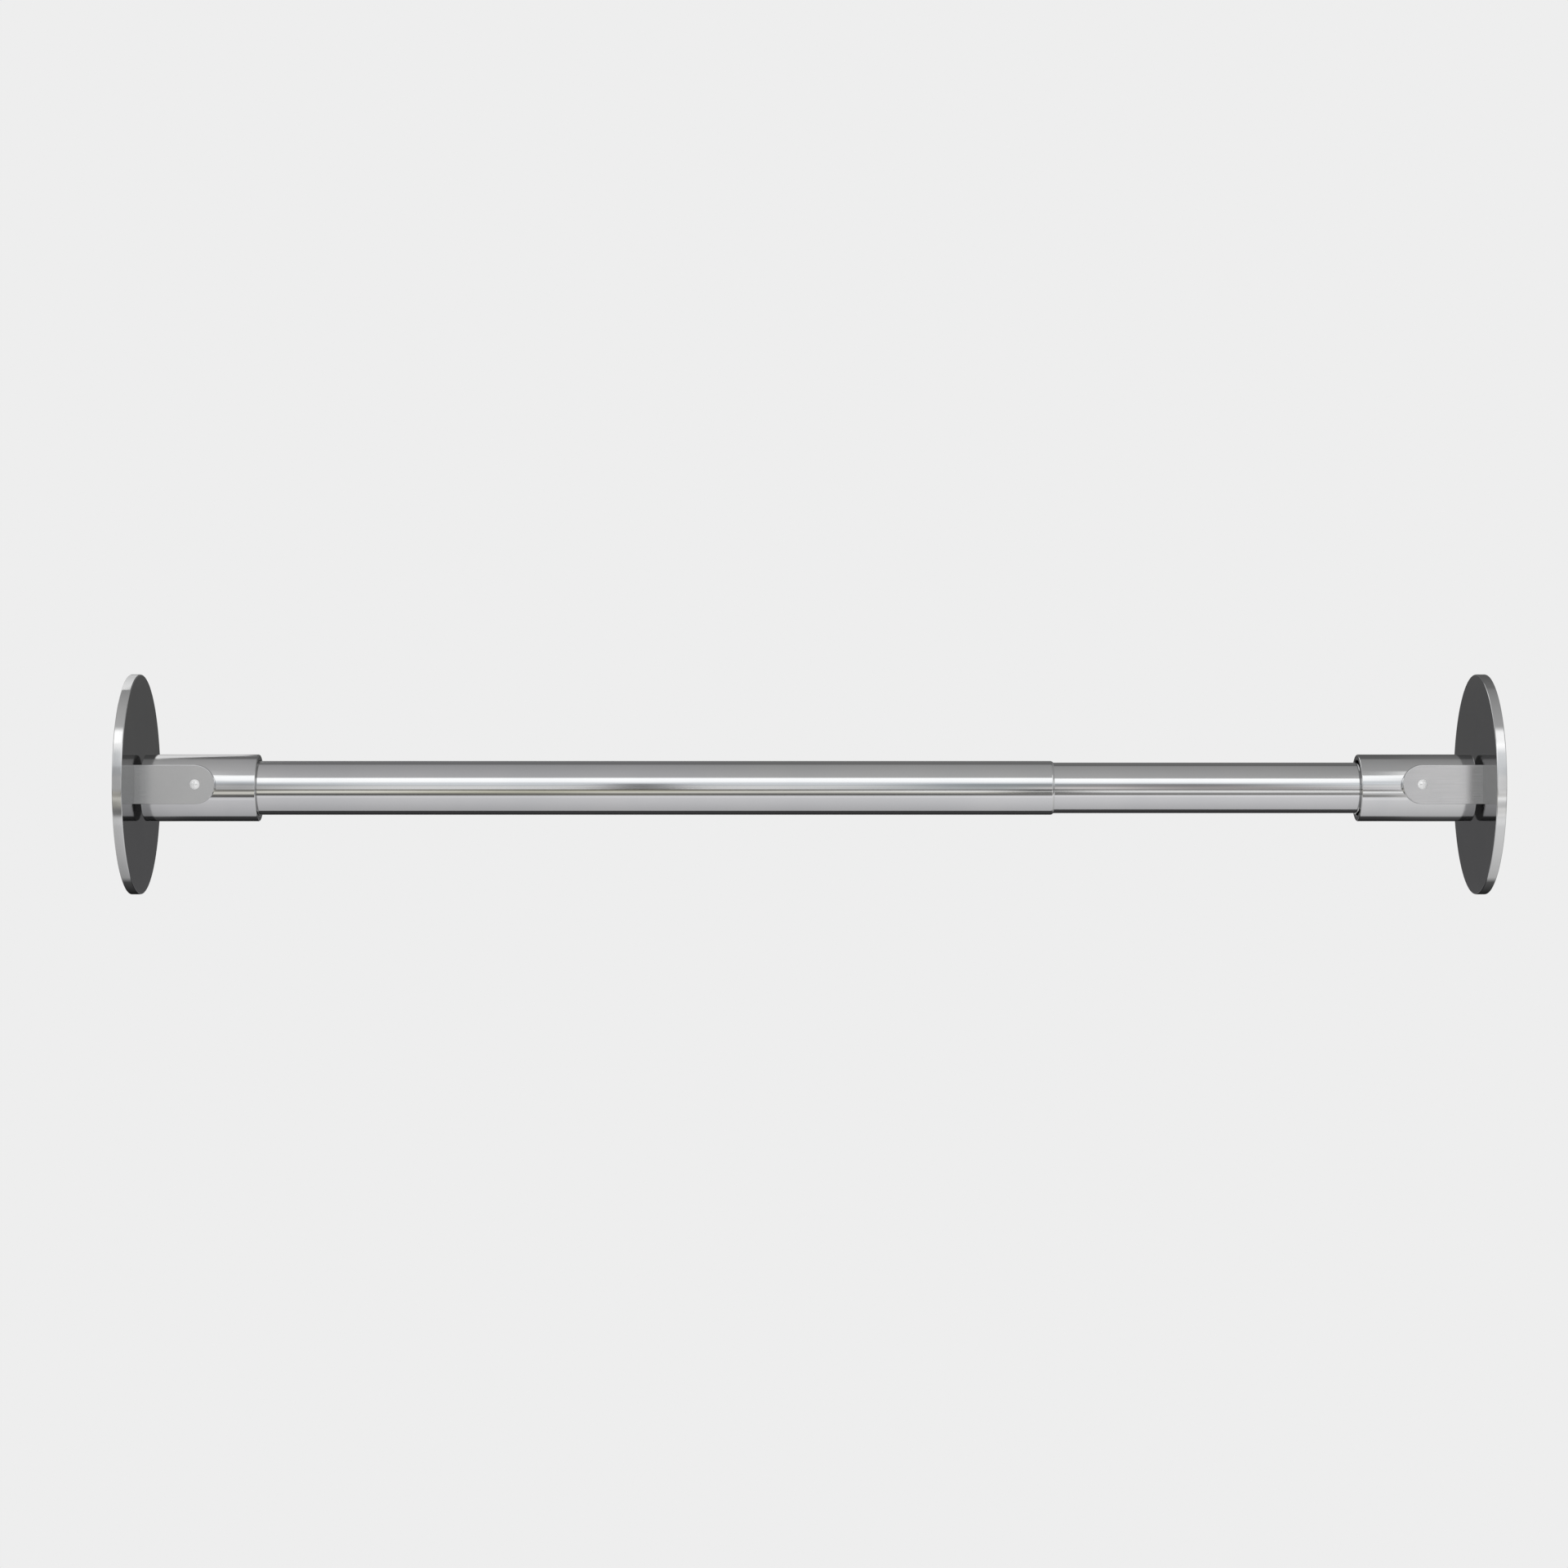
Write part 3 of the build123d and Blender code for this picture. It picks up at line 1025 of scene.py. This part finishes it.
def banded(tree, source, low, high, stops):
    """Colour of a value through a ramp whose stops are (value, colour)."""
    share = add(tree, "ShaderNodeMapRange")
    share.inputs["From Min"].default_value = low
    share.inputs["From Max"].default_value = high
    ramp = add(tree, "ShaderNodeValToRGB")
    marks = ramp.color_ramp.elements
    while len(marks) < len(stops):
        marks.new(0.5)
    for mark, (value, colour) in zip(marks, stops):
        mark.position = (value - low) / (high - low)
        mark.color = colour
    tree.links.new(source, share.inputs["Value"])
    tree.links.new(share.outputs["Result"], ramp.inputs["Fac"])
    return ramp.outputs["Color"]


def mixed(tree, mask, first, second):
    """Mix two colours by a mask."""
    node = add(tree, "ShaderNodeMix", data_type="RGBA")
    tree.links.new(mask, node.inputs["Factor"])
    tree.links.new(first, node.inputs["A"])
    tree.links.new(second, node.inputs["B"])
    return node.outputs["Result"]


def multiplied(tree, first, second):
    """Multiply two colours."""
    node = add(tree, "ShaderNodeMix", data_type="RGBA", blend_type="MULTIPLY")
    node.inputs["Factor"].default_value = 1
    tree.links.new(first, node.inputs["A"])
    tree.links.new(second, node.inputs["B"])
    return node.outputs["Result"]


def step_at(tree, source, middle, half_width):
    """Mask that goes from 0 to 1 as a value passes a place."""
    node = add(tree, "ShaderNodeMapRange")
    node.inputs["From Min"].default_value = middle - half_width
    node.inputs["From Max"].default_value = middle + half_width
    tree.links.new(source, node.inputs["Value"])
    return node.outputs["Result"]


def panel_stops(panels):
    """Stops of a ramp at both edges of each panel."""
    stops = []
    for _, start, end, start_glow, end_glow, warmth in panels:
        stops.append((start, grey(start_glow, warmth * start_glow)))
        stops.append((end, grey(end_glow, warmth * end_glow)))
    return stops


def section_stops(sections):
    """Stops of a ramp at both ends of each section."""
    stops = []
    for _, start, end, tone, tint in sections:
        colour = (*(tone * share for share in tint), 1)
        stops.append((start, colour))
        stops.append((end, colour))
    return stops


def new_glow(name):
    """Start a glowing material, and return it with its tree and lamp."""
    material = bpy.data.materials.new(name)
    material.use_nodes = True
    tree = material.node_tree
    tree.nodes.clear()
    lamp = add(tree, "ShaderNodeEmission")
    leave = add(tree, "ShaderNodeOutputMaterial")
    tree.links.new(lamp.outputs["Emission"], leave.inputs["Surface"])
    return material, tree, lamp


def tent_glow():
    """Glow of the tent's panels, by their angle round the rod and their place along it."""
    material, tree, lamp = new_glow("tent_glow")
    place = add(tree, "ShaderNodeTexCoord")
    parts = add(tree, "ShaderNodeSeparateXYZ")
    tree.links.new(place.outputs["Object"], parts.inputs["Vector"])
    along = parts.outputs["X"]
    to_viewer = computed(tree, "MULTIPLY", parts.outputs["Y"], -1)
    angle = computed(tree, "DEGREES", computed(tree, "ARCTAN2", parts.outputs["Z"], to_viewer))
    reach = computed(tree, "ABSOLUTE", computed(tree, "SUBTRACT", along, middle_x))

    glow = banded(tree, angle, angles_start, angles_end, panel_stops(middle_panels))
    for panels, start, blend in (
        (end_panels, end_panels_reach, end_panels_blend),
        (far_panels, far_panels_reach, far_panels_blend),
    ):
        further = banded(tree, angle, angles_start, angles_end, panel_stops(panels))
        glow = mixed(tree, step_at(tree, reach, start, blend), glow, further)

    (_, lowest_sections), *higher_zones = tone_zones
    tone = banded(tree, along, sections_start, sections_end, section_stops(lowest_sections))
    for start, sections in higher_zones:
        zone = banded(tree, along, sections_start, sections_end, section_stops(sections))
        tone = mixed(tree, step_at(tree, angle, start, zone_blend), tone, zone)

    tree.links.new(multiplied(tree, glow, tone), lamp.inputs["Color"])
    return material


def sail_glow():
    """Even white glow of the sail."""
    material, _, lamp = new_glow("sail_glow")
    lamp.inputs["Strength"].default_value = sail_strength
    return material


def only_in_reflections(card):
    """Keep a card out of everything but mirror images."""
    card.visible_camera = False
    card.visible_diffuse = False
    card.visible_transmission = False
    card.visible_volume_scatter = False
    card.visible_shadow = False


def on_tent(place, degrees, radius):
    """Point at a place along the rod and an angle round it."""
    angle = math.radians(degrees)
    return (place, -radius * math.cos(angle), radius * math.sin(angle))


def left_sail():
    """White sail above and behind the left end, cut on a slant."""
    bm = bmesh.new()
    points = [on_tent(place, degrees, sail_radius) for place, degrees in sail_corners]
    verts = chain(bm, points, close=True)
    bmesh.ops.contextual_create(bm, geom=verts)
    sail = loose(bm, "left_sail")
    sail.data.materials.append(sail_glow())
    only_in_reflections(sail)


def light_tent():
    """Round tent of panels that the chrome mirrors."""
    bm = bmesh.new()
    chain(
        bm,
        [(middle_x - tent_half_length, 0, tent_radius), (middle_x + tent_half_length, 0, tent_radius)],
    )
    tent = loose(turn_on_rod(bm), "light_tent")
    tent.data.materials.append(tent_glow())
    only_in_reflections(tent)


def backdrop_world():
    """Even pale surroundings."""
    world = bpy.data.worlds.new("pale_surroundings")
    bpy.context.scene.world = world
    world.use_nodes = True
    tree = world.node_tree
    tree.nodes.clear()
    rays = add(tree, "ShaderNodeLightPath").outputs
    seen_or_mirrored = computed(tree, "MAXIMUM", rays["Is Camera Ray"], rays["Is Glossy Ray"])
    shown = computed(tree, "MAXIMUM", seen_or_mirrored, rays["Is Transmission Ray"])
    strength = add(tree, "ShaderNodeMapRange")
    strength.inputs["To Min"].default_value = fill_level
    strength.inputs["To Max"].default_value = backdrop_level
    background = add(tree, "ShaderNodeBackground")
    background.inputs["Color"].default_value = (1, 1, 1, 1)
    leave = add(tree, "ShaderNodeOutputWorld")
    tree.links.new(shown, strength.inputs["Value"])
    tree.links.new(strength.outputs["Result"], background.inputs["Strength"])
    tree.links.new(background.outputs["Background"], leave.inputs["Surface"])


def soft_lamp(name, place, power):
    """Large soft lamp that the chrome doesn't mirror."""
    light = bpy.data.lights.new(name, "AREA")
    light.shape = "DISK"
    light.size = lamp_size
    light.energy = power
    lamp = bpy.data.objects.new(name, light)
    bpy.context.scene.collection.objects.link(lamp)
    lamp.location = place
    lamp.rotation_euler = (Vector(lamp_target) - Vector(place)).to_track_quat("-Z", "Y").to_euler()
    lamp.visible_glossy = False


def camera():
    """View square to the rod, at its height."""
    lens = bpy.data.cameras.new("front_camera")
    lens.lens = camera_lens
    lens.sensor_width = camera_sensor
    lens.shift_x = camera_shift
    viewer = bpy.data.objects.new("front_camera", lens)
    bpy.context.scene.collection.objects.link(viewer)
    viewer.location = camera_place
    viewer.rotation_euler = (math.pi / 2, 0, 0)
    bpy.context.scene.camera = viewer


def pale_floor():
    """Plain pale floor well below the rod, faded out towards its rim."""
    centre = Vector((middle_x, 0, floor_height))
    bm = bmesh.new()
    bmesh.ops.create_grid(
        bm,
        x_segments=floor_cells,
        y_segments=floor_cells,
        size=floor_reach,
        matrix=Matrix.Translation(centre),
    )
    ground = loose(bm, "pale_floor")
    material, tree, shader = new_finish("pale_floor")
    tint = use_group(
        tree,
        cloudy_tint,
        Scale=floor_tint_scale,
        First=grey(floor_low_level),
        Second=grey(floor_high_level),
    )
    tree.links.new(tint.outputs["Color"], shader.inputs["Base Color"])
    shader.inputs["Roughness"].default_value = floor_roughness
    place = add(tree, "ShaderNodeTexCoord")
    distance = add(tree, "ShaderNodeVectorMath", operation="DISTANCE")
    distance.inputs[1].default_value = centre
    fade = add(tree, "ShaderNodeMapRange", interpolation_type="SMOOTHSTEP")
    fade.inputs["From Min"].default_value = floor_fade_start
    fade.inputs["From Max"].default_value = floor_reach
    fade.inputs["To Min"].default_value = 1
    fade.inputs["To Max"].default_value = 0
    tree.links.new(place.outputs["Object"], distance.inputs[0])
    tree.links.new(distance.outputs["Value"], fade.inputs["Value"])
    tree.links.new(fade.outputs["Result"], shader.inputs["Alpha"])
    ground.data.materials.append(material)
    ground.visible_glossy = False


light_tent()
left_sail()
backdrop_world()
soft_lamp("key_lamp", key_lamp_place, key_lamp_power)
soft_lamp("rear_lamp", rear_lamp_place, rear_lamp_power)
camera()
pale_floor()
bpy.context.scene.view_settings.view_transform = "Standard"
